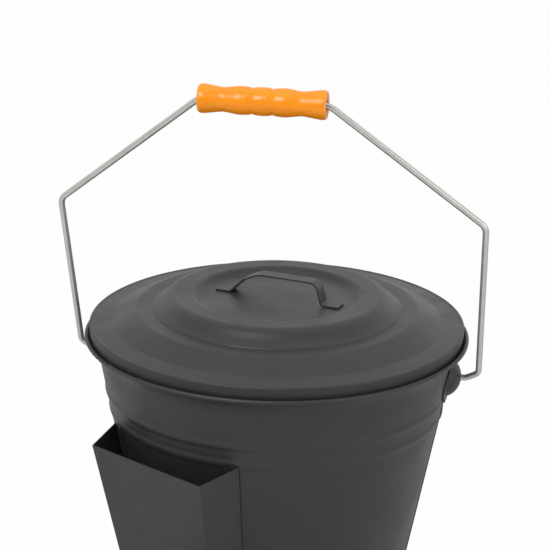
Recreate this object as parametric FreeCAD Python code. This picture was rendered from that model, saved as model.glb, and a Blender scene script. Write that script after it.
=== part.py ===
import FreeCAD, Part
import math
import os

# Ash bucket with a lift-off lid, a swinging bail, a shovel pocket and a loose hand shovel.
# Millimetres, +Z up. The origin is the middle of the foot on the floor. +X runs along the
# bail's hinge line to the ear beside the wall seam, -Y is the front.

V = FreeCAD.Vector

# Sheet and clearances
SHEET = 0.8
SEAT_GAP = 0.25
RUN_GAP = 0.35

# Bucket body
RIM_RADIUS = 152.0
RIM_HEIGHT = 275.0
CURL_RADIUS = 1.7
LIP_OVERHANG = 8.5
LIP_ANGLE = 45.0
LIP_BEND = 28.0
WALL_TAPER = 0.187
UPPER_RIB_DROP = 43.0
LOWER_RIB_DROP = 58.5
RIB_RISE = 1.2
RIB_WIDTH = 8.0
SEAM_ANGLE = -1.5
SEAM_LAP = 14.0
SEAM_RISE = 0.6
HEM_HEIGHT = 7.0
BOTTOM_HEIGHT = 13.0

# Lid
LID_GAP = 0.5
LID_DRAFT = 0.8
LID_EDGE_WIDTH = 3.4
LID_EDGE_RISE = 0.4
LID_FLANGE_RISE = 12.0
LID_FLANGE_DROOP = 1.8
LID_STEP_RISE = 9.0
LID_DOME_RISE = 11.6
LID_RECESS = 4.3
LID_FLANGE_WIDTH = 17.0
LID_STEP_SLOPE = 19.8
LID_STEP_WIDTH = 12.8
LID_CREASE_RISE = 0.8
LID_DOME_SLOPE = 13.4
LID_CREST_WIDTH = 19.1
LID_RECESS_SLOPE = 4.5
LID_HANDLE_MARGIN = 8.9
LID_HANDLE_SHIFT = 1.5
LID_HANDLE_WIDTH = 12.0
LID_HANDLE_HEIGHT = 18.5
LID_HANDLE_SHEET = 1.2
LID_HANDLE_FOOT = 14.0
LID_HANDLE_LEFT_FOOT = 12.0
LID_HANDLE_ANGLE = -12.8

# Ears and bail
EAR_DROP = 26.0
EAR_SHEET = 1.0
EAR_RISE = 9.2
EAR_RADIUS = 15.2
EAR_FLANGE = 21.0
BAIL_WIRE = 4.8
BAIL_LEAN = 15.5
BAIL_CLEAR = 9.3
BAIL_SPREAD = 2.7
BAIL_FOOT = 5.3
BAIL_SHOULDER = 139.7
BAIL_HEIGHT = 234.4
GRIP_LENGTH = 95.0
GRIP_SHIFT = -0.6
GRIP_END_PLAY = 0.6
GRIP_DIAMETER = 21.5

# Shovel pocket
POCKET_ANGLE = -119.1
POCKET_SPREAD = 29.1
POCKET_DEPTH = 36.6
POCKET_SLANT = 8.2
POCKET_DROP = 59.5
POCKET_HEIGHT = 140.0
POCKET_TAB = 12.5
POCKET_STANDOFF = 1.1

# Hand shovel, lying on the floor in front of the bucket
BLADE_LENGTH = 130.0
BLADE_WIDTH = 98.0
BLADE_LIP = 74.0
BLADE_HEIGHT = 24.0
BLADE_LIP_HEIGHT = 6.0
TANG_DIAMETER = 8.0
TANG_ANGLE = 18.0
TANG_REACH = 74.0
TANG_HOLD = 48.0
PALM_WIDTH = 34.0
PALM_HEIGHT = 16.0
PALM_SHEET = 2.5
RIVET_DIAMETER = 4.0
RIVET_SPACING = 22.0
FERRULE_LENGTH = 12.0
SHOVEL_GRIP_LENGTH = 104.0
SHOVEL_GRIP_DIAMETER = 22.0
SHOVEL_STANDOFF = 14.0


# Flat helpers: rounded paths and sheet bands in a radius and height plane

def unit(a, b):
    length = math.hypot(b[0] - a[0], b[1] - a[1])
    return (b[0] - a[0]) / length, (b[1] - a[1]) / length


def offset_path(points, distance):
    """Shift a path of (x, y, bend radius) to its right by a distance."""
    moved = []
    last = len(points) - 1
    for i, point in enumerate(points):
        before = unit(points[i - 1], point) if i > 0 else None
        after = unit(point, points[i + 1]) if i < last else None
        d1 = before or after
        d2 = after or before
        n1 = (d1[1], -d1[0])
        n2 = (d2[1], -d2[0])
        scale = distance / (1.0 + n1[0] * n2[0] + n1[1] * n2[1])
        turn = d1[0] * d2[1] - d1[1] * d2[0]
        bend = point[2]
        if bend > 0:
            bend = max(bend + (distance if turn > 0 else -distance), 0.05)
        moved.append((point[0] + (n1[0] + n2[0]) * scale, point[1] + (n1[1] + n2[1]) * scale, bend))
    return moved


def rounded_edges(points, place):
    """Lines and arcs through (x, y, bend radius) points, put into space by place(x, y)."""
    edges = []
    start = points[0]
    for i in range(1, len(points) - 1):
        corner = points[i]
        d1 = unit(points[i - 1], corner)
        d2 = unit(corner, points[i + 1])
        turn = math.acos(max(-1.0, min(1.0, d1[0] * d2[0] + d1[1] * d2[1])))
        if corner[2] <= 0 or turn < 1e-4:
            edges.append(Part.makeLine(place(start[0], start[1]), place(corner[0], corner[1])))
            start = corner
            continue
        reach = corner[2] * math.tan(turn / 2)
        first = (corner[0] - d1[0] * reach, corner[1] - d1[1] * reach)
        second = (corner[0] + d2[0] * reach, corner[1] + d2[1] * reach)
        inward = (d2[0] - d1[0], d2[1] - d1[1])
        size = math.hypot(inward[0], inward[1])
        sag = corner[2] * (1.0 / math.cos(turn / 2) - 1.0)
        middle = (corner[0] + inward[0] / size * sag, corner[1] + inward[1] / size * sag)
        edges.append(Part.makeLine(place(start[0], start[1]), place(*first)))
        edges.append(Part.Arc(place(*first), place(*middle), place(*second)).toShape())
        start = second
    edges.append(Part.makeLine(place(start[0], start[1]), place(points[-1][0], points[-1][1])))
    return edges


def eased(points):
    """The same path with each bend no larger than its two runs can hold."""
    held = []
    for i, (x, y, bend) in enumerate(points):
        if bend > 0:
            d1 = unit(points[i - 1], points[i])
            d2 = unit(points[i], points[i + 1])
            turn = math.acos(max(-1.0, min(1.0, d1[0] * d2[0] + d1[1] * d2[1])))
            runs = (math.dist(points[i - 1][:2], (x, y)), math.dist((x, y), points[i + 1][:2]))
            if turn > 1e-4:
                bend = min(bend, 0.48 * min(runs) / math.tan(turn / 2))
        held.append((x, y, bend))
    return held


def upright(x, y):
    return V(x, 0, y)


def band_face(points, thickness):
    """Sheet of even thickness on the right of a path, negative for the left."""
    other = offset_path(points, thickness)
    near = rounded_edges(points, upright)
    far = rounded_edges(other, upright)
    cap_a = Part.makeLine(upright(*points[-1][:2]), upright(*other[-1][:2]))
    cap_b = Part.makeLine(upright(*other[0][:2]), upright(*points[0][:2]))
    return Part.Face(Part.Wire(Part.__sortEdges__(near + [cap_a] + far + [cap_b])))


def turned(face, start=0.0, sweep=360.0):
    solid = face.revolve(V(0, 0, 0), V(0, 0, 1), sweep)
    if start:
        solid.rotate(V(0, 0, 0), V(0, 0, 1), start)
    return solid


def filled(points):
    """Solid of revolution inside a path that runs from top to bottom."""
    edges = rounded_edges(points, upright)
    top = upright(0, points[0][1])
    foot = upright(0, points[-1][1])
    edges.append(Part.makeLine(upright(*points[-1][:2]), foot))
    edges.append(Part.makeLine(foot, top))
    edges.append(Part.makeLine(top, upright(*points[0][:2])))
    return turned(Part.Face(Part.Wire(Part.__sortEdges__(edges))))


def lathe(profile, axis_point, axis):
    """Solid of revolution from (along, radius) points with bends, about any axis."""
    closed = [(profile[0][0], 0.0, 0.0)] + list(profile) + [(profile[-1][0], 0.0, 0.0)]
    edges = rounded_edges(closed, lambda a, r: V(r, 0, a))
    edges.append(Part.makeLine(V(0, 0, closed[-1][0]), V(0, 0, closed[0][0])))
    face = Part.Face(Part.Wire(Part.__sortEdges__(edges)))
    solid = face.revolve(V(0, 0, 0), V(0, 0, 1), 360)
    turn = FreeCAD.Rotation(V(0, 0, 1), axis)
    solid.Placement = FreeCAD.Placement(axis_point, turn)
    return solid


def prism(points, depth):
    wire = Part.makePolygon(points + [points[0]])
    return Part.Face(wire).extrude(depth)


def single_face(shape):
    """The one face of a flat boolean result."""
    return shape.removeSplitter().Faces[0]


def single(shape):
    """The one solid of a boolean result."""
    clean = shape.removeSplitter()
    solids = sorted(clean.Solids, key=lambda s: s.Volume)
    return solids[-1]


# Bucket wall: one tapered sheet with two rolled ribs, a curled lip and a folded foot

def wall_radius(z):
    return RIM_RADIUS - LIP_OVERHANG + WALL_TAPER * (z - RIM_HEIGHT)


HINGE_HEIGHT = RIM_HEIGHT - EAR_DROP
CURL_CENTRE = RIM_RADIUS - CURL_RADIUS
CURL_BORE = CURL_RADIUS - 0.9 * SHEET
LIP = math.radians(LIP_ANGLE)


def lip_start():
    """Where the lip's outer face meets the curl: the sheet runs up the inner side of the bead."""
    side = CURL_RADIUS - SHEET
    return CURL_CENTRE - side * math.sin(LIP), RIM_HEIGHT + side * math.cos(LIP)


def lip_corner():
    start = lip_start()
    slope = math.tan(LIP)
    rise = start[0] - wall_radius(start[1])
    run = rise / (1.0 - WALL_TAPER * slope)
    return start[0] - run, start[1] - run * slope


def wall_path(foot):
    """Outer face of the wall from the lip down to a height."""
    start = lip_start()
    corner = lip_corner()
    turn = math.pi / 2 - LIP - math.atan(WALL_TAPER)
    bend = min(LIP_BEND, 0.9 * math.dist(start, corner) / math.tan(turn / 2))
    path = [(start[0], start[1], 0.0), (corner[0], corner[1], bend)]
    for drop in (UPPER_RIB_DROP, LOWER_RIB_DROP):
        for along, rise in ((0.5, 0.0), (0.0, RIB_RISE), (-0.5, 0.0)):
            z = RIM_HEIGHT - drop + along * RIB_WIDTH
            path.append((wall_radius(z) + rise, z, RIB_WIDTH))
    path.append((wall_radius(foot), foot, 0.0))
    return path


def disc(radius):
    """Round section of the curled rim."""
    circle = Part.makeCircle(radius, V(CURL_CENTRE, 0, RIM_HEIGHT), V(0, 1, 0))
    return Part.Face(Part.Wire(circle))


def make_bucket_wall():
    path = wall_path(0.0)
    hem = 2 * SHEET + SHEET + 2.4 * SEAT_GAP
    path[-1] = (wall_radius(0.0), 0.0, SHEET + 0.4)
    path.append((wall_radius(0.0) - hem, 0.0, SHEET + 0.4))
    path.append((wall_radius(HEM_HEIGHT) - hem, HEM_HEIGHT, 0.0))
    section = band_face(path, SHEET).fuse(disc(CURL_RADIUS)).cut(disc(CURL_BORE))
    wall = turned(single_face(section))
    # The wall sheet closes on itself in one upright lap, whose edge shows below the ear.
    top = HINGE_HEIGHT - EAR_FLANGE - 2.0
    lap = [(wall_radius(top), top, 0.0)]
    lap += [point for point in wall_path(HEM_HEIGHT) if point[1] < top - 1.0]
    sweep = math.degrees(SEAM_LAP / wall_radius(RIM_HEIGHT / 2))
    sunk = SHEET / 4
    strip = turned(band_face(offset_path(lap, sunk), -SEAM_RISE - sunk), SEAM_ANGLE, sweep)
    return single(wall.fuse(strip))


def make_rim_wire():
    return Part.makeTorus(CURL_CENTRE, CURL_BORE - SEAT_GAP, V(0, 0, RIM_HEIGHT), V(0, 0, 1))


def make_bucket_bottom():
    inset = SHEET * math.hypot(1.0, WALL_TAPER) + SEAT_GAP
    foot = SHEET + SEAT_GAP
    path = [(0.0, BOTTOM_HEIGHT, 0.0)]
    path.append((wall_radius(BOTTOM_HEIGHT) - inset, BOTTOM_HEIGHT, 3.0))
    path.append((wall_radius(foot) - inset, foot, 0.0))
    return turned(band_face(path, SHEET))


def outside_of_wall(gap):
    """Everything inside the wall's outer face moved out by a gap, up to the rim."""
    return filled(offset_path(wall_path(0.0), -gap))


def outside_of_cone(gap):
    """The plain tapered body without its ribs, moved out by a gap."""
    return Part.makeCone(wall_radius(0.0) + gap, wall_radius(RIM_HEIGHT) + gap, RIM_HEIGHT)


# Ears: pressed domes with a thin rim, welded to the wall under the lip

EAR_APEX = wall_radius(HINGE_HEIGHT) + EAR_RISE
WIRE = BAIL_WIRE / 2


def dome(shrink):
    root = wall_radius(HINGE_HEIGHT) - 6.0
    reach = EAR_APEX - root
    base = EAR_RADIUS / math.sqrt(1.0 - (6.0 / reach) ** 2)
    ball = Part.makeSphere(1.0)
    stretch = FreeCAD.Matrix()
    stretch.scale(V(reach - shrink, base - shrink, base - shrink))
    ball = ball.transformGeometry(stretch)
    ball.translate(V(root, 0, HINGE_HEIGHT))
    return ball


def make_ear(side):
    body = outside_of_wall(SEAT_GAP)
    shell_path = offset_path(wall_path(0.0), -SEAT_GAP)
    flange = turned(band_face(shell_path, -EAR_SHEET), -12.0, 24.0)
    plug = Part.makeCylinder(EAR_FLANGE, RIM_RADIUS, V(0, 0, HINGE_HEIGHT), V(1, 0, 0))
    ear = dome(0.0).cut(body).fuse(flange.common(plug))
    ear = ear.cut(dome(EAR_SHEET))
    hole = Part.makeCylinder(WIRE + RUN_GAP, RIM_RADIUS, V(0, 0, HINGE_HEIGHT), V(1, 0, 0))
    ear = single(ear.cut(hole))
    if side < 0:
        ear.rotate(V(0, 0, 0), V(0, 0, 1), 180)
    return ear


# Bail: one bent wire sprung into both ears, with a turned wooden grip on its top run

BAIL_HALF = RIM_RADIUS + BAIL_CLEAR
BAIL_TOP_HALF = GRIP_LENGTH / 2 + GRIP_END_PLAY


def lean(shape):
    shape.rotate(V(0, 0, HINGE_HEIGHT), V(1, 0, 0), BAIL_LEAN)
    return shape


def make_bail_wire():
    inner = wall_radius(HINGE_HEIGHT) + SEAT_GAP + 2.0
    half = [(inner, 0.0, 0.0), (EAR_APEX + 3.5, 0.0, 5.0), (BAIL_HALF, BAIL_FOOT, 6.0)]
    half.append((BAIL_HALF + BAIL_SPREAD, BAIL_SHOULDER, 10.0))
    half.append((BAIL_TOP_HALF, BAIL_HEIGHT, 16.0))
    path = half + [(-u, v, bend) for u, v, bend in reversed(half)]
    spine = Part.Wire(rounded_edges(path, lambda u, v: V(u, 0, HINGE_HEIGHT + v)))
    ring = Part.Wire(Part.makeCircle(WIRE, V(inner, 0, HINGE_HEIGHT), V(1, 0, 0)))
    return lean(spine.makePipeShell([ring], True, True))


def grip_profile(length, diameter):
    """Turned outline with flared ends, necks, swells and a middle bead."""
    r = diameter / 2
    shape = [(0.00, 0.93, 0.0), (0.015, 1.01, 1.0), (0.05, 1.01, 5.0), (0.19, 0.83, 18.0)]
    shape += [(0.32, 1.00, 24.0), (0.395, 0.955, 12.0), (0.42, 0.885, 0.4), (0.446, 0.955, 5.0)]
    shape += [(0.50, 0.985, 14.0)]
    right = [(1.0 - a, b, bend) for a, b, bend in reversed(shape[:-1])]
    return [(a * length, b * r, bend) for a, b, bend in shape + right]


def make_bail_grip():
    start = V(GRIP_SHIFT - GRIP_LENGTH / 2, 0, HINGE_HEIGHT + BAIL_HEIGHT)
    grip = lathe(grip_profile(GRIP_LENGTH, GRIP_DIAMETER), start, V(1, 0, 0))
    bore = [(-1.0, 5.2, 0.0), (4.0, WIRE + RUN_GAP, 2.0)]
    bore += [(GRIP_LENGTH - 4.0, WIRE + RUN_GAP, 2.0), (GRIP_LENGTH + 1.0, 5.2, 0.0)]
    return lean(single(grip.cut(lathe(bore, start, V(1, 0, 0)))))


# Lid: one stepped pressing that drops into the flared lip, with a strap handle

LID_RADIUS = CURL_CENTRE - CURL_RADIUS - LID_GAP
LID_FLANGE = RIM_HEIGHT + LID_FLANGE_RISE
LID_STEP = LID_FLANGE + LID_STEP_RISE
LID_CREST = LID_STEP + LID_DOME_RISE
LID_FLOOR = LID_CREST - LID_RECESS
LID_STEP_OUTER = LID_RADIUS - LID_FLANGE_WIDTH - LID_STEP_SLOPE
LID_STEP_INNER = LID_STEP_OUTER - LID_STEP_WIDTH
LID_CREST_OUTER = LID_STEP_INNER - LID_DOME_SLOPE
LID_CREST_INNER = LID_CREST_OUTER - LID_CREST_WIDTH
LID_FLOOR_RADIUS = LID_CREST_INNER - LID_RECESS_SLOPE


def lip_inner_height(radius):
    """Height of the lip's inner face at a radius."""
    path = offset_path(wall_path(0.0), SHEET)
    corner = path[1]
    d1 = unit(path[0], corner)
    d2 = unit(corner, path[2])
    turn = math.acos(d1[0] * d2[0] + d1[1] * d2[1])
    inward = (d2[0] - d1[0], d2[1] - d1[1])
    size = math.hypot(inward[0], inward[1])
    reach = corner[2] / math.cos(turn / 2)
    centre = (corner[0] + inward[0] / size * reach, corner[1] + inward[1] / size * reach)
    return centre[1] + math.sqrt(corner[2] ** 2 - (radius - centre[0]) ** 2)


def make_lid_pan():
    skirt = LID_RADIUS - LID_DRAFT
    edge = LID_RADIUS - LID_EDGE_WIDTH
    low = LID_FLANGE - LID_FLANGE_DROOP
    cove = LID_STEP + LID_CREASE_RISE
    path = [(0.0, LID_FLOOR, 0.0), (LID_FLOOR_RADIUS, LID_FLOOR, 4.0), (LID_CREST_INNER, LID_CREST, 5.0)]
    path += [(LID_CREST_OUTER, LID_CREST, 9.0)]
    path += [(LID_CREST_OUTER + 0.55 * LID_DOME_SLOPE, cove + 0.27 * LID_DOME_RISE, 16.0)]
    path += [(LID_STEP_INNER - 0.4, cove, 0.9), (LID_STEP_INNER, LID_STEP, 0.6)]
    path += [(LID_STEP_OUTER, LID_STEP, 5.0), (LID_RADIUS - LID_FLANGE_WIDTH, LID_FLANGE, 5.0)]
    path += [(edge, low, 0.6), (edge + 0.4 * LID_EDGE_WIDTH, low + LID_EDGE_RISE, 1.2)]
    path.append((LID_RADIUS, low, 2.0))
    path.append((skirt, lip_inner_height(skirt) + SEAT_GAP, 0.0))
    return turned(band_face(eased(path), SHEET))


def make_lid_handle():
    t = LID_HANDLE_SHEET
    base = LID_FLOOR + SEAT_GAP
    half = LID_FLOOR_RADIUS - LID_HANDLE_MARGIN
    left = half - LID_HANDLE_LEFT_FOOT
    right = half - LID_HANDLE_FOOT
    low = base + t
    high = base + LID_HANDLE_HEIGHT
    path = [(-half, low, 0.0), (-left, low, 2.0), (-0.72 * left, base + 0.66 * LID_HANDLE_HEIGHT, 14.0)]
    path.append((-0.42 * left, high, 26.0))
    path += [(0.88 * right, high, 8.0), (right, low, 2.0), (half, low, 0.0)]
    strap = band_face(eased(path), t).extrude(V(0, LID_HANDLE_WIDTH, 0))
    strap.translate(V(LID_HANDLE_SHIFT, -LID_HANDLE_WIDTH / 2, 0))
    strap.rotate(V(0, 0, 0), V(0, 0, 1), LID_HANDLE_ANGLE)
    return strap


# Shovel pocket: one folded sheet with two inward welding tabs, with a plate under its open foot

APEX = RIM_HEIGHT - (RIM_RADIUS - LIP_OVERHANG) / WALL_TAPER
POCKET_TOP = RIM_HEIGHT - POCKET_DROP
POCKET_FOOT = POCKET_TOP - POCKET_HEIGHT


def pocket_plan(inset, reach):
    """Plan corners at the pocket's top: front pair, then the sides run on inward."""
    spread = math.radians(POCKET_SPREAD)
    root = wall_radius(POCKET_TOP) * math.cos(spread)
    wide = wall_radius(POCKET_TOP) * math.sin(spread)
    slope = POCKET_SLANT / POCKET_DEPTH
    side = inset * math.hypot(1.0, slope)
    front = root + POCKET_DEPTH - inset
    near = wide - POCKET_SLANT * (front - root) / POCKET_DEPTH - side
    far = wide + slope * reach - side
    return [(front, -near), (front, near), (root - reach, far), (root - reach, -far)]


def pocket_body(inset, low, high, reach=24.0):
    """Tapered pocket block: every edge runs to the point of the wall's own cone."""
    rings = []
    for z in (low, high):
        scale = (z - APEX) / (POCKET_TOP - APEX)
        corners = [V(n * scale, t * scale, z) for n, t in pocket_plan(inset, reach)]
        rings.append(Part.makePolygon(corners + [corners[0]]))
    return Part.makeLoft(rings, True, True)


def pocket_cap():
    """Everything above the pocket's straight-cut top, square to its front sheet."""
    root = wall_radius(POCKET_TOP) * math.cos(math.radians(POCKET_SPREAD))
    near = root - POCKET_DEPTH
    far = root + 2 * POCKET_DEPTH
    drop = [(n, POCKET_TOP - WALL_TAPER * (n - root)) for n in (near, far)]
    wide = wall_radius(POCKET_TOP)
    outline = [V(drop[0][0], -wide, drop[0][1]), V(drop[1][0], -wide, drop[1][1])]
    outline += [V(drop[1][0], -wide, RIM_HEIGHT * 1.2), V(drop[0][0], -wide, RIM_HEIGHT * 1.2)]
    return prism(outline, V(0, 2 * wide, 0))


def place_pocket(shape):
    shape.rotate(V(0, 0, 0), V(0, 0, 1), POCKET_ANGLE)
    return shape


def make_pocket_shell():
    high = POCKET_TOP + POCKET_DEPTH
    outer = pocket_body(0.0, POCKET_FOOT, high)
    inner = pocket_body(SHEET, POCKET_FOOT - 5.0, high + 5.0)
    shell = outer.cut(inner).cut(outside_of_cone(POCKET_STANDOFF))
    low_r = wall_radius(POCKET_FOOT) + POCKET_STANDOFF
    high_r = wall_radius(high) + POCKET_STANDOFF
    strip = Part.makePolygon([V(low_r, 0, POCKET_FOOT), V(low_r + SHEET, 0, POCKET_FOOT),
                              V(high_r + SHEET, 0, high), V(high_r, 0, high), V(low_r, 0, POCKET_FOOT)])
    strip = Part.Face(strip)
    tab = math.degrees(POCKET_TAB / wall_radius(POCKET_TOP))
    keep = pocket_body(0.0, POCKET_FOOT, high)
    for start in (-POCKET_SPREAD - 3.0, POCKET_SPREAD - tab):
        shell = shell.fuse(turned(strip, start, tab + 3.0).common(keep))
    return place_pocket(single(shell.cut(pocket_cap())))


def make_pocket_floor():
    top = POCKET_FOOT - SEAT_GAP
    block = pocket_body(0.0, top - SHEET, top)
    return place_pocket(single(block.cut(outside_of_cone(SEAT_GAP))))


# Hand shovel, built with its lip at the origin and its handle toward +X, blade on the floor

def blade_block(inset, low, high):
    back = BLADE_LENGTH - inset
    lip = BLADE_LIP / 2 - inset
    rear = BLADE_WIDTH / 2 - inset
    front = -1.0 if inset else 0.0
    points = [V(front, -lip, low), V(back, -rear, low), V(back, rear, low), V(front, lip, low)]
    return prism(points, V(0, 0, high - low))


def round_edges(solid, radius, test):
    edges = [edge for edge in solid.Edges if test(edge.BoundBox)]
    return solid.makeFillet(radius, edges)


def make_shovel_blade():
    bend = 3 * SHEET

    def folded(inset):
        def chosen(box):
            at_floor = box.ZLength < 0.01 and box.ZMin < SHEET + 0.01 and box.XLength > 0.5
            at_back = box.ZLength < 0.01 and box.ZMin < SHEET + 0.01 and box.XMin > BLADE_LENGTH / 2
            upright_back = box.ZLength > 5.0 and box.XMin > BLADE_LENGTH / 2
            return at_floor or at_back or upright_back
        return chosen

    outer = round_edges(blade_block(0.0, 0.0, BLADE_HEIGHT), bend, folded(0.0))
    inner = round_edges(blade_block(SHEET, SHEET, BLADE_HEIGHT + 5.0), bend - SHEET, folded(SHEET))
    blade = outer.cut(inner)
    wide = BLADE_WIDTH
    top = [V(-5.0, -wide, BLADE_LIP_HEIGHT), V(0.0, -wide, BLADE_LIP_HEIGHT)]
    top += [V(0.72 * BLADE_LENGTH, -wide, BLADE_HEIGHT), V(0.72 * BLADE_LENGTH, -wide, 3 * BLADE_HEIGHT)]
    top += [V(-5.0, -wide, 3 * BLADE_HEIGHT)]
    blade = blade.cut(prism(top, V(0, 2 * wide, 0)))
    for side in (-0.5, 0.5):
        hole = Part.makeCylinder(RIVET_DIAMETER / 2 + 0.15, 10.0,
                                 V(BLADE_LENGTH - 5.0, side * RIVET_SPACING, PALM_MIDDLE), V(1, 0, 0))
        blade = blade.cut(hole)
    return single(blade)


PALM_MIDDLE = BLADE_HEIGHT / 2 + 1.0
PALM_BACK = BLADE_LENGTH + SEAT_GAP + PALM_SHEET
TANG = V(math.cos(math.radians(TANG_ANGLE)), 0, math.sin(math.radians(TANG_ANGLE)))
TANG_ROOT = V(BLADE_LENGTH + SEAT_GAP + PALM_SHEET / 2, 0, PALM_MIDDLE)


def make_shovel_tang():
    palm = Part.makeBox(PALM_SHEET, PALM_WIDTH, PALM_HEIGHT,
                        V(BLADE_LENGTH + SEAT_GAP, -PALM_WIDTH / 2, PALM_MIDDLE - PALM_HEIGHT / 2))
    palm = round_edges(palm, 4.0, lambda box: box.XLength > PALM_SHEET / 2)
    rod = Part.makeCylinder(TANG_DIAMETER / 2, TANG_REACH + TANG_HOLD, TANG_ROOT, TANG)
    behind = Part.makeBox(BLADE_LENGTH, 2 * PALM_WIDTH, 4 * PALM_HEIGHT,
                          V(SEAT_GAP, -PALM_WIDTH, PALM_MIDDLE - 2 * PALM_HEIGHT))
    tang = palm.fuse(rod.cut(behind))
    for side in (-0.5, 0.5):
        hole = Part.makeCylinder(RIVET_DIAMETER / 2 + 0.15, 20.0,
                                 V(BLADE_LENGTH - 5.0, side * RIVET_SPACING, PALM_MIDDLE), V(1, 0, 0))
        tang = tang.cut(hole)
    return single(tang)


def make_shovel_rivets():
    r = RIVET_DIAMETER / 2
    inner = BLADE_LENGTH - SHEET - 0.1
    outer = PALM_BACK + 0.1
    rivets = []
    for side in (-0.5, 0.5):
        outline = [(inner - 1.8, r * 0.9, 0.0), (inner - 0.9, r * 1.7, 1.0)]
        outline += [(inner, r * 1.75, 0.0), (inner, r, 0.0), (outer, r, 0.0), (outer, r * 1.75, 0.0)]
        outline += [(outer + 0.9, r * 1.7, 1.0), (outer + 1.8, r * 0.9, 0.0)]
        rivets.append(lathe(outline, V(0, side * RIVET_SPACING, PALM_MIDDLE), V(1, 0, 0)))
    return Part.makeCompound(rivets)


def along_tang(distance):
    return TANG_ROOT + TANG * distance


def make_shovel_ferrule():
    bore = TANG_DIAMETER / 2 + SEAT_GAP
    big = SHOVEL_GRIP_DIAMETER * 0.36 + SHEET + SEAT_GAP
    outline = [(0.0, big - 0.6, 0.0), (0.6, big, 0.4)]
    outline += [(FERRULE_LENGTH - 0.5, big, 0.4), (FERRULE_LENGTH, big - 0.5, 0.0)]
    cap = lathe(outline, along_tang(TANG_REACH - SHEET - SEAT_GAP), TANG)
    hollow = Part.makeCylinder(big - SHEET, FERRULE_LENGTH, along_tang(TANG_REACH - SEAT_GAP), TANG)
    hole = Part.makeCylinder(bore, FERRULE_LENGTH, along_tang(TANG_REACH - 2 * SHEET), TANG)
    return single(cap.cut(hollow).cut(hole))


def make_shovel_grip():
    r = SHOVEL_GRIP_DIAMETER / 2
    n = SHOVEL_GRIP_LENGTH
    collar = SHOVEL_GRIP_DIAMETER * 0.36
    outline = [(0.0, collar, 0.0), (FERRULE_LENGTH, collar, 0.0), (FERRULE_LENGTH, r * 0.86, 0.8)]
    outline += [(0.22 * n, r * 0.84, 10.0), (0.48 * n, r * 1.04, 40.0), (0.78 * n, r * 0.84, 14.0)]
    outline += [(0.93 * n, r * 1.05, 5.0), (n, r * 0.80, 5.0), (n, r * 0.3, 0.0)]
    grip = lathe(outline, along_tang(TANG_REACH), TANG)
    radius = TANG_DIAMETER / 2 + SEAT_GAP
    bore = Part.makeCylinder(radius, TANG_HOLD + 1.0, along_tang(TANG_REACH - 0.5), TANG)
    return single(grip.cut(bore))


SHOVEL_LIP = V(-0.5 * (BLADE_LENGTH + TANG_REACH + SHOVEL_GRIP_LENGTH),
               -wall_radius(0.0) - SHOVEL_STANDOFF - BLADE_WIDTH / 2, 0)


def place_shovel(shape):
    shape.translate(SHOVEL_LIP)
    return shape


# Every node in its own file

os.makedirs("parts", exist_ok=True)

NODES = {
    "bucket_wall": make_bucket_wall(),
    "rim_wire": make_rim_wire(),
    "bucket_bottom": make_bucket_bottom(),
    "right_ear": make_ear(1),
    "left_ear": make_ear(-1),
    "pocket_shell": make_pocket_shell(),
    "pocket_floor": make_pocket_floor(),
    "lid_pan": make_lid_pan(),
    "lid_handle": make_lid_handle(),
    "bail_wire": make_bail_wire(),
    "bail_grip": make_bail_grip(),
    "shovel_blade": place_shovel(make_shovel_blade()),
    "shovel_tang": place_shovel(make_shovel_tang()),
    "shovel_rivets": place_shovel(make_shovel_rivets()),
    "shovel_ferrule": place_shovel(make_shovel_ferrule()),
    "shovel_grip": place_shovel(make_shovel_grip()),
}

for name, shape in NODES.items():
    box = shape.BoundBox
    print(name, "solids", len(shape.Solids), "valid", shape.isValid(), "volume", round(shape.Volume),
          "box", [round(value, 1) for value in (box.XMin, box.XMax, box.YMin, box.YMax, box.ZMin, box.ZMax)])
    shape.exportStep("parts/" + name + ".step")
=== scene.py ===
# %% [markdown]
# # An ash bucket with its shovel
# The bucket, its lid, its bail and its shovel come from the CAD frame, already in place and in
# metres. This lesson dresses them: it sets a camera where the photograph was taken from, mixes
# the powder coat, the drawn wire and the lacquered wood that the object shows, lays a white
# floor and hangs soft lights.

# %% Load the frame
import bpy
import bmesh
import math
from mathutils import Matrix, Vector


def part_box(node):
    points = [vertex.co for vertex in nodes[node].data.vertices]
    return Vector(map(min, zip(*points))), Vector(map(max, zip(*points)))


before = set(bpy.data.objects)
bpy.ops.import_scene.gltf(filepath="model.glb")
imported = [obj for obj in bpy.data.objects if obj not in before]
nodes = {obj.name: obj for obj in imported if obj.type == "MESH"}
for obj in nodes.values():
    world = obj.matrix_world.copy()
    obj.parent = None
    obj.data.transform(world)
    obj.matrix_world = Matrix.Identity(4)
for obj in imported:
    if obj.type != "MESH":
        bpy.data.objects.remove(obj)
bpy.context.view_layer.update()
scene = bpy.context.scene

# %% [markdown]
# ## The camera
# A long lens from a little above the rim keeps the ellipses of the rim and the lid narrow. The
# camera could be aimed with a Track To constraint, but building its three axes from a heading,
# a dip and a small roll says exactly how it was held, and nothing has to be solved later.

# %% Camera
LENS_MM = 117.8
SENSOR_MM = 36.0
CLIP_FAR = 60.0
CAMERA_PLACE = Vector((0.2564, -1.3190, 0.7665))
HEADING = math.radians(101.086)
DIP = math.radians(18.31)
ROLL = math.radians(0.82)
RIM_MIDDLE = Vector((0.0, 0.0, 0.275))


def camera_axes(heading, dip, roll):
    flat = math.cos(dip)
    ahead = Vector((math.cos(heading) * flat, math.sin(heading) * flat, -math.sin(dip)))
    right = ahead.cross(Vector((0, 0, 1))).normalized()
    up = right.cross(ahead)
    right_rolled = right * math.cos(roll) + up * math.sin(roll)
    up_rolled = up * math.cos(roll) - right * math.sin(roll)
    return right_rolled, up_rolled, ahead


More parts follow.
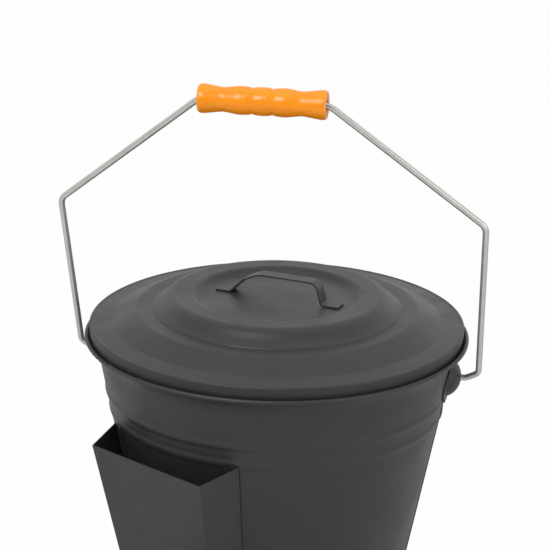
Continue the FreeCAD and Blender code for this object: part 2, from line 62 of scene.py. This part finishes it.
right, up, ahead = camera_axes(HEADING, DIP, ROLL)
camera_data = bpy.data.cameras.new("photo_camera")
camera_data.lens = LENS_MM
camera_data.sensor_width = SENSOR_MM
camera_data.sensor_fit = "HORIZONTAL"
camera_data.clip_end = CLIP_FAR
camera = bpy.data.objects.new("photo_camera", camera_data)
scene.collection.objects.link(camera)
turn = Matrix((right, up, -ahead)).transposed().to_4x4()
camera.matrix_world = Matrix.Translation(CAMERA_PLACE) @ turn
scene.camera = camera
print("camera", round((CAMERA_PLACE - RIM_MIDDLE).length, 3), "m from the rim's middle")

# %% [markdown]
# ## Small helpers for shader nodes
# Every finish below is a node tree. These helpers keep the cells short: each adds one node, sets
# its inputs, links it and hands back its output. A material starts from its Principled shader
# and from Object coordinates, so a pattern stays fixed to the metal when the bail swings. Noise
# gathers round a half, so where it drives a range, only its middle span is used.

# %% Node helpers
NOISE_SPAN = (0.3, 0.7)


def add_node(tree, kind, **inputs):
    node = tree.nodes.new(kind)
    for name, value in inputs.items():
        node.inputs[name.replace("_", " ")].default_value = value
    return node


def start_material(name):
    material = bpy.data.materials.new(name)
    material.use_nodes = True
    tree = material.node_tree
    shader = tree.nodes["Principled BSDF"]
    place = tree.nodes.new("ShaderNodeTexCoord").outputs["Object"]
    return material, tree, shader, place


def noise_on(tree, place, scale, detail=2.0, roughness=0.5):
    node = add_node(tree, "ShaderNodeTexNoise", Scale=scale, Detail=detail, Roughness=roughness)
    tree.links.new(place, node.inputs["Vector"])
    return node.outputs["Fac"]


def ramp_of(tree, value, stops):
    node = tree.nodes.new("ShaderNodeValToRGB")
    elements = node.color_ramp.elements
    while len(elements) < len(stops):
        elements.new(0.5)
    for element, (place, colour) in zip(elements, stops):
        element.position = place
        element.color = (*colour, 1.0)
    tree.links.new(value, node.inputs["Fac"])
    return node.outputs["Color"]


def range_of(tree, value, low, high, new_low, new_high):
    node = add_node(tree, "ShaderNodeMapRange",
                    From_Min=low, From_Max=high, To_Min=new_low, To_Max=new_high)
    tree.links.new(value, node.inputs["Value"])
    return node.outputs["Result"]


def math_of(tree, operation, *values):
    node = tree.nodes.new("ShaderNodeMath")
    node.operation = operation
    for socket, value in zip(node.inputs, values):
        if isinstance(value, float):
            socket.default_value = value
        else:
            tree.links.new(value, socket)
    return node.outputs[0]


def bump_on(tree, shader, height, distance, strength, under=None):
    node = add_node(tree, "ShaderNodeBump", Distance=distance, Strength=strength)
    tree.links.new(height, node.inputs["Height"])
    if under is not None:
        tree.links.new(under, node.inputs["Normal"])
    tree.links.new(node.outputs["Normal"], shader.inputs["Normal"])
    return node.outputs["Normal"]


print("helpers ready")

# %% [markdown]
# ## Powder coat
# The bucket, the lid, the ears and the pocket wear a baked powder coat: dark grey, matte, with a
# fine orange-peel skin. A flat grey would look like plastic film, so the colour drifts a little
# in slow patches, the shine varies, and two scales of noise lift the skin by a few hundredths
# of a millimetre.

# %% Powder coat
COAT_DARK = (0.0198, 0.0198, 0.0201)
COAT_LIGHT = (0.0246, 0.0246, 0.0249)
COAT_ROUGHNESS = (0.44, 0.54)
PEEL_HEIGHT = 0.00006
GRAIN_HEIGHT = 0.00002


def powder_coat(name):
    material, tree, shader, place = start_material(name)
    drift = noise_on(tree, place, scale=9.0, detail=3.0)
    colour = ramp_of(tree, drift, [(0.30, COAT_DARK), (0.70, COAT_LIGHT)])
    tree.links.new(colour, shader.inputs["Base Color"])
    shine = noise_on(tree, place, scale=35.0, detail=4.0, roughness=0.6)
    roughness = range_of(tree, shine, *NOISE_SPAN, *COAT_ROUGHNESS)
    tree.links.new(roughness, shader.inputs["Roughness"])
    peel = noise_on(tree, place, scale=620.0)
    grain = noise_on(tree, place, scale=2400.0, detail=1.0)
    skin = bump_on(tree, shader, peel, PEEL_HEIGHT, 0.35)
    bump_on(tree, shader, grain, GRAIN_HEIGHT, 0.25, skin)
    return material


coat = powder_coat("anthracite_powder_coat")
print("made", coat.name)

# %% [markdown]
# ## Drawn wire
# The bail is bright drawn steel with a slightly chalky skin. A pure metal would mirror the dim
# room in front of it as a black stripe, so Metallic stays below 1. Slow noise shifts the colour
# and the roughness along each run, a trace of fine bump roughs the surface, and a dark specular
# tint dims the metal where it turns away from the eye. The hidden rim wire and the shovel's
# rivets are a darker, duller mix of the same recipe.

# %% Drawn wire
STEEL_METALLIC = 0.75
STEEL_EDGE_TINT = (0.25, 0.24, 0.23, 1.0)
LINE_HEIGHT = 0.00001


def drawn_steel(name, dark, light, roughness_span):
    material, tree, shader, place = start_material(name)
    patch = noise_on(tree, place, scale=60.0, detail=3.0)
    colour = ramp_of(tree, patch, [(0.30, dark), (0.72, light)])
    tree.links.new(colour, shader.inputs["Base Color"])
    scuff = noise_on(tree, place, scale=35.0)
    roughness = range_of(tree, scuff, *NOISE_SPAN, *roughness_span)
    tree.links.new(roughness, shader.inputs["Roughness"])
    line = noise_on(tree, place, scale=1500.0)
    bump_on(tree, shader, line, LINE_HEIGHT, 0.03)
    shader.inputs["Metallic"].default_value = STEEL_METALLIC
    shader.inputs["Specular Tint"].default_value = STEEL_EDGE_TINT
    return material


wire_steel = drawn_steel("drawn_steel_wire", (0.57, 0.555, 0.525), (0.64, 0.625, 0.595), (0.31, 0.34))
plain_steel = drawn_steel("plain_steel", (0.30, 0.30, 0.30), (0.42, 0.42, 0.42), (0.32, 0.48))
print("made", wire_steel.name, "and", plain_steel.name)

# %% [markdown]
# ## Finding the length and the ends of a grip
# Both grips are turned from wood, so their grain runs along them and their ends are sawn across.
# A UV map could say which way is along, but a Mapping node does it with no unwrapping: it moves
# the coordinates to the grip's middle and turns them until X runs along it. The sawn ends are
# then simply where X is large.

# %% Grip coordinates
GRIP_HALF = 0.0475
SHOVEL_GRIP_HALF = 0.052
SHOVEL_TILT = math.radians(18.0)
SAWN_FROM = 0.0007
SAWN_TO = 0.0002


def middle_of(node):
    low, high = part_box(node)
    return (Vector(low) + Vector(high)) / 2


def along_grip(tree, place, middle, tilt):
    node = tree.nodes.new("ShaderNodeMapping")
    node.vector_type = "TEXTURE"
    node.inputs["Location"].default_value = middle
    node.inputs["Rotation"].default_value = (0.0, -tilt, 0.0)
    tree.links.new(place, node.inputs["Vector"])
    return node.outputs["Vector"]


def sawn_ends(tree, along, half_length):
    axis = tree.nodes.new("ShaderNodeSeparateXYZ")
    tree.links.new(along, axis.inputs["Vector"])
    reach = math_of(tree, "ABSOLUTE", axis.outputs["X"])
    return range_of(tree, reach, half_length - SAWN_FROM, half_length - SAWN_TO, 0.0, 1.0)


print("grip middles", middle_of("bail_grip"), middle_of("shovel_grip"))

# %% [markdown]
# ## Orange lacquer on turned wood
# The wood is stained orange and lacquered until it shines. The grain is noise, stretched along
# the grip. A clear coat layer over the colour could give the shine, but here one smooth skin
# with a low roughness already draws the small soft highlights on each swell. The sawn ends,
# which take the stain differently, are paler and dull.

# %% Lacquered wood
STAIN = [(0.28, (0.86, 0.238, 0.004)), (0.52, (0.92, 0.285, 0.006)), (0.78, (0.96, 0.330, 0.012))]
SAWN_COLOUR = (0.82, 0.36, 0.12, 1.0)
SAWN_ROUGHNESS = 0.75
LACQUER_ROUGHNESS = (0.26, 0.30)
LACQUER_SPECULAR = 0.32
GRAIN_STRETCH = (0.07, 1.0, 1.0)
PORE_HEIGHT = 0.00002


def lacquered_wood(name, middle, tilt, half_length):
    material, tree, shader, place = start_material(name)
    along = along_grip(tree, place, middle, tilt)
    stretch = add_node(tree, "ShaderNodeMapping", Scale=GRAIN_STRETCH)
    tree.links.new(along, stretch.inputs["Vector"])
    grain = noise_on(tree, stretch.outputs["Vector"], scale=420.0, detail=5.0, roughness=0.6)
    sawn = sawn_ends(tree, along, half_length)
    mix = tree.nodes.new("ShaderNodeMix")
    mix.data_type = "RGBA"
    tree.links.new(sawn, mix.inputs["Factor"])
    tree.links.new(ramp_of(tree, grain, STAIN), mix.inputs["A"])
    mix.inputs["B"].default_value = SAWN_COLOUR
    tree.links.new(mix.outputs["Result"], shader.inputs["Base Color"])
    gloss = range_of(tree, grain, *NOISE_SPAN, *LACQUER_ROUGHNESS)
    dull = math_of(tree, "MULTIPLY", sawn, SAWN_ROUGHNESS)
    tree.links.new(math_of(tree, "MAXIMUM", gloss, dull), shader.inputs["Roughness"])
    bump_on(tree, shader, grain, PORE_HEIGHT, 0.1)
    shader.inputs["Specular IOR Level"].default_value = LACQUER_SPECULAR
    return material


grip_wood = lacquered_wood("orange_lacquered_grip", middle_of("bail_grip"), 0.0, GRIP_HALF)
shovel_wood = lacquered_wood("orange_lacquered_handle", middle_of("shovel_grip"),
                             SHOVEL_TILT, SHOVEL_GRIP_HALF)
print("made", grip_wood.name, "and", shovel_wood.name)

# %% [markdown]
# ## Dress the frame
# Each CAD node keeps its shape and takes a finish in its own material slot. Finishes could be
# given face by face, but every piece here has one finish, so one slot is enough.

# %% Finishes on the nodes
FINISHES = {
    coat: ["bucket_wall", "bucket_bottom", "right_ear", "left_ear", "pocket_shell", "pocket_floor",
           "lid_pan", "lid_handle", "shovel_blade", "shovel_tang"],
    wire_steel: ["bail_wire", "shovel_ferrule"],
    plain_steel: ["rim_wire", "shovel_rivets"],
    grip_wood: ["bail_grip"],
    shovel_wood: ["shovel_grip"],
}
for finish, names in FINISHES.items():
    for name in names:
        slots = nodes[name].data.materials
        slots.clear()
        slots.append(finish)
print("dressed", sum(len(names) for names in FINISHES.values()), "nodes")

# %% [markdown]
# ## Floor
# The object stands on a wide white floor. More light would make it white, but would bleach the
# object too. So a Light Path node asks what kind of ray has arrived. To the camera the floor is
# nearly all its own plain white, with a little real shading left in for the shadow under the
# bucket. In mirrors and through glass under a third is that white, and to every other ray it is
# ordinary pale paint that bounces light back up.

# %% Floor
FLOOR_HALF = 9.0
FLOOR_GLOW = 0.97
FLOOR_MIRROR = 0.30
FLOOR_PAINT = (0.62, 0.62, 0.62, 1.0)
WHITE = (1.0, 1.0, 1.0, 1.0)


def white_share(tree, camera_share, mirror_share):
    """How much plain white a ray sees: one share for the camera, one in mirrors and glass."""
    path = tree.nodes.new("ShaderNodeLightPath").outputs
    seen = math_of(tree, "MULTIPLY", path["Is Camera Ray"], camera_share)
    mirror = math_of(tree, "MAXIMUM", path["Is Glossy Ray"], path["Is Transmission Ray"])
    return math_of(tree, "MAXIMUM", seen, math_of(tree, "MULTIPLY", mirror, mirror_share))


floor_mesh = bpy.data.meshes.new("floor")
floor_bm = bmesh.new()
bmesh.ops.create_grid(floor_bm, x_segments=2, y_segments=2, size=FLOOR_HALF)
floor_bm.to_mesh(floor_mesh)
floor_bm.free()
floor = bpy.data.objects.new("floor", floor_mesh)
scene.collection.objects.link(floor)
floor_paint = bpy.data.materials.new("white_floor")
floor_paint.use_nodes = True
tree = floor_paint.node_tree
paint = tree.nodes["Principled BSDF"]
paint.inputs["Base Color"].default_value = FLOOR_PAINT
paint.inputs["Roughness"].default_value = 0.9
paint.inputs["Specular IOR Level"].default_value = 0.0
glow = add_node(tree, "ShaderNodeEmission", Color=WHITE, Strength=1.0)
blend = tree.nodes.new("ShaderNodeMixShader")
tree.links.new(white_share(tree, FLOOR_GLOW, FLOOR_MIRROR), blend.inputs["Fac"])
tree.links.new(paint.outputs["BSDF"], blend.inputs[1])
tree.links.new(glow.outputs["Emission"], blend.inputs[2])
tree.links.new(blend.outputs["Shader"], tree.nodes["Material Output"].inputs["Surface"])
floor_mesh.materials.append(floor_paint)
print("floor", 2 * FLOOR_HALF, "m wide")

# %% [markdown]
# ## The room's own light
# On the real lid the flat tops are the lightest, and the front of the wall is the darkest face.
# So the world is bright behind the object, dim in front, a little dimmer overhead and a little
# brighter on the right. A picture of a studio could be wrapped round the scene; three ranges
# over the direction of the ray say the same in three lines. The camera still sees plain white.

# %% World
WORLD_LEVELS = (
    ("Y", -0.8, 0.05, 0.21, 1.1),
    ("Z", 0.25, 0.75, 1.0, 0.7),
    ("X", -0.7, 0.7, 0.93, 1.07),
)
WORLD_MIRROR = 0.25

world = bpy.data.worlds.new("studio")
scene.world = world
world.use_nodes = True
tree = world.node_tree
sky = tree.nodes["Background"]
sky.inputs["Color"].default_value = WHITE
way = tree.nodes.new("ShaderNodeTexCoord").outputs["Generated"]
split = tree.nodes.new("ShaderNodeSeparateXYZ")
tree.links.new(way, split.inputs["Vector"])
by_depth, by_height, by_side = (
    range_of(tree, split.outputs[axis], *limits) for axis, *limits in WORLD_LEVELS)
level = math_of(tree, "MULTIPLY", math_of(tree, "MULTIPLY", by_depth, by_height), by_side)
strength = math_of(tree, "MAXIMUM", level, white_share(tree, 1.0, WORLD_MIRROR))
tree.links.new(strength, sky.inputs["Strength"])
print("world", world.name, "graded on", len(WORLD_LEVELS), "axes")

# %% [markdown]
# ## Lamps
# Three softboxes finish the light. A wide one hangs above, a smaller and stronger one at the
# front left draws the highlights on the grip, and a large one at the right lifts that side of
# the wall. Sun lamps would be simpler, but they give hard shadows and pinpoint highlights.

# %% Lamps


def area_lamp(name, place, aim, width, height, watts):
    data = bpy.data.lights.new(name, "AREA")
    data.shape = "RECTANGLE"
    data.size = width
    data.size_y = height
    data.energy = watts
    lamp = bpy.data.objects.new(name, data)
    lamp.location = place
    lamp.rotation_euler = (Vector(aim) - Vector(place)).to_track_quat("-Z", "Y").to_euler()
    scene.collection.objects.link(lamp)


area_lamp("top_softbox", (0.0, 0.2, 2.0), (0.0, 0.0, 0.25), 1.6, 1.2, 3.5)
area_lamp("front_softbox", (-0.57, -1.46, 1.72), (0.0, 0.0, 0.40), 0.60, 0.90, 26.0)
area_lamp("side_softbox", (1.70, -1.00, 0.70), (0.0, 0.0, 0.20), 1.00, 1.20, 7.0)
scene.view_settings.view_transform = "Standard"
